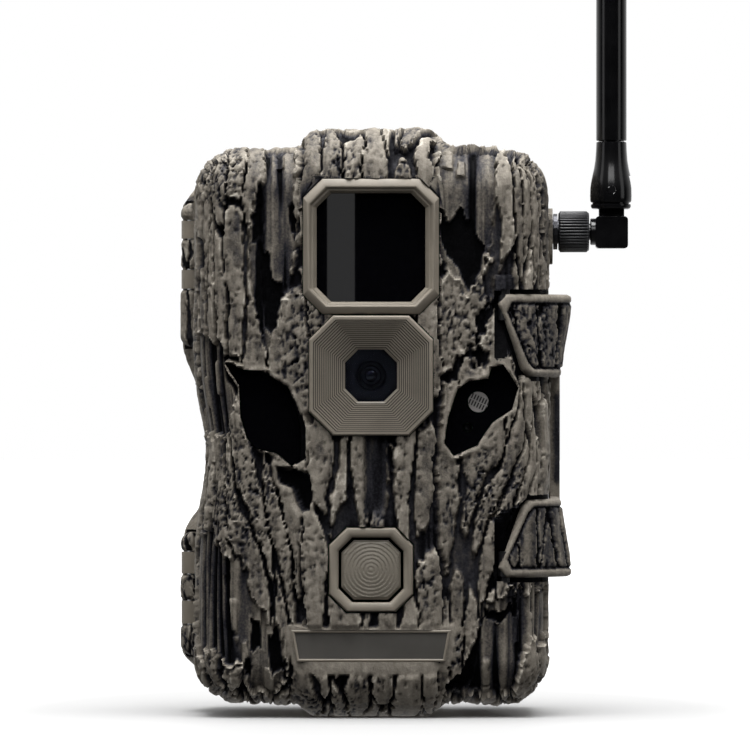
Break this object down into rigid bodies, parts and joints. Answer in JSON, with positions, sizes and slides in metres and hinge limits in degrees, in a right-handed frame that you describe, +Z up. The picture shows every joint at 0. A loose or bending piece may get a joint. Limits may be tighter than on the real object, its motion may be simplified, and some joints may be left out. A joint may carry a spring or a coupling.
{
  "type": "trail camera",
  "caption": "Bark-textured cellular trail camera with a hinged front door, side latch, folding antenna, battery bay and a toothed strap bracket.",
  "frame": {"origin": "middle of the flat foot of the rear housing, where the camera stands", "axes": "+X to the right seen from the front, +Y from the lens towards the tree, +Z up"},
  "size_m": [0.1137, 0.0861, 0.268],
  "materials": {
    "bark_shell": "moulded bark relief, matt",
    "tan_plastic": "smooth matt moulding",
    "black_plastic": "satin black moulding",
    "dark_window": "glossy infrared-pass filter",
    "glass": "clear and polished",
    "rubber": "matt silicone",
    "steel": "plated",
    "brass": "turned",
    "circuit_board": "solder mask",
    "cell_wrap": "printed film",
    "ceramic": "fired and tracked"
  },
  "bodies": {
    "rear_case": {"rear_housing": "bark_shell", "hinge_pin_upper": "steel", "hinge_pin_lower": "steel", "battery_tray": "black_plastic", "tripod_insert": "brass", "dc_jack": "black_plastic", "tree_bracket": "tan_plastic", "bracket_screw_1": "steel", "bracket_screw_2": "steel", "battery_cell_1": "cell_wrap", "battery_cell_2": "cell_wrap", "battery_cell_3": "cell_wrap", "battery_cell_4": "cell_wrap", "battery_cell_5": "cell_wrap", "battery_cell_6": "cell_wrap", "battery_cell_7": "cell_wrap", "battery_cell_8": "cell_wrap", "battery_spring_1": "steel", "battery_spring_2": "steel", "battery_spring_3": "steel", "battery_spring_4": "steel"},
    "door": {"front_shell": "bark_shell", "ir_bezel": "tan_plastic", "ir_window": "dark_window", "ir_led_board": "circuit_board", "lens_bezel": "tan_plastic", "lens_window": "glass", "lens_barrel": "black_plastic", "lens_glass": "glass", "pir_frame": "tan_plastic", "pir_lens": "tan_plastic", "pir_sensor": "steel", "sensor_window": "dark_window", "photocell": "ceramic", "status_led": "glass", "knot_window": "dark_window", "main_board": "circuit_board", "modem_module": "steel", "usb_port": "steel", "inner_panel": "black_plastic", "display_window": "dark_window", "door_gasket": "rubber", "antenna_connector": "brass", "panel_screw_1": "steel", "panel_screw_2": "steel", "panel_screw_3": "steel", "panel_screw_4": "steel"},
    "latch": {"latch_lever": "tan_plastic"},
    "menu_button": {"button_menu": "rubber"},
    "up_button": {"button_up": "rubber"},
    "down_button": {"button_down": "rubber"},
    "ok_button": {"button_ok": "rubber"},
    "mode_slider": {"mode_switch": "steel"},
    "memory_card": {"sd_card": "black_plastic"},
    "jack_plug": {"jack_cover": "rubber"},
    "antenna_nut_ring": {"antenna_nut": "black_plastic"},
    "antenna_swivel": {"antenna_elbow": "black_plastic", "antenna_pin": "steel"},
    "antenna_rod": {"antenna_boot": "black_plastic", "antenna_mast": "black_plastic"}
  },
  "joints": [
    {"name": "door_hinge", "type": "hinge", "parent": "rear_case", "child": "door", "pos_m": [-0.0457, -0.012, 0.073], "axis": [0, 0, -1], "range_deg": [0, 115]},
    {"name": "latch_pivot", "type": "hinge", "parent": "door", "child": "latch", "pos_m": [0.0336, -0.046, 0.0705], "axis": [0, 0, -1], "range_deg": [0, 90]},
    {"name": "menu_press", "type": "slide", "parent": "door", "child": "menu_button", "axis": [0, -1, 0], "range_m": [0, 0.0012], "stiffness_N_per_m": 400, "springref_m": -0.0003},
    {"name": "up_press", "type": "slide", "parent": "door", "child": "up_button", "axis": [0, -1, 0], "range_m": [0, 0.0012], "stiffness_N_per_m": 400, "springref_m": -0.0003},
    {"name": "down_press", "type": "slide", "parent": "door", "child": "down_button", "axis": [0, -1, 0], "range_m": [0, 0.0012], "stiffness_N_per_m": 400, "springref_m": -0.0003},
    {"name": "ok_press", "type": "slide", "parent": "door", "child": "ok_button", "axis": [0, -1, 0], "range_m": [0, 0.0012], "stiffness_N_per_m": 400, "springref_m": -0.0003},
    {"name": "mode_slide", "type": "slide", "parent": "door", "child": "mode_slider", "axis": [1, 0, 0], "range_m": [0, 0.006]},
    {"name": "card_slide", "type": "slide", "parent": "door", "child": "memory_card", "axis": [1, 0, 0], "range_m": [0, 0.008]},
    {"name": "jack_plug_pull", "type": "slide", "parent": "rear_case", "child": "jack_plug", "axis": [0, 0, -1], "range_m": [0, 0.008]},
    {"name": "nut_spin", "type": "hinge", "parent": "door", "child": "antenna_nut_ring", "pos_m": [0.0458, -0.026, 0.122], "axis": [1, 0, 0], "continuous": true},
    {"name": "antenna_turn", "type": "hinge", "parent": "door", "child": "antenna_swivel", "pos_m": [0.0608, -0.026, 0.122], "axis": [1, 0, 0], "continuous": true},
    {"name": "antenna_tilt", "type": "hinge", "parent": "antenna_swivel", "child": "antenna_rod", "pos_m": [0.0608, -0.026, 0.1325], "axis": [0, 1, 0], "range_deg": [0, 90]}
  ]
}
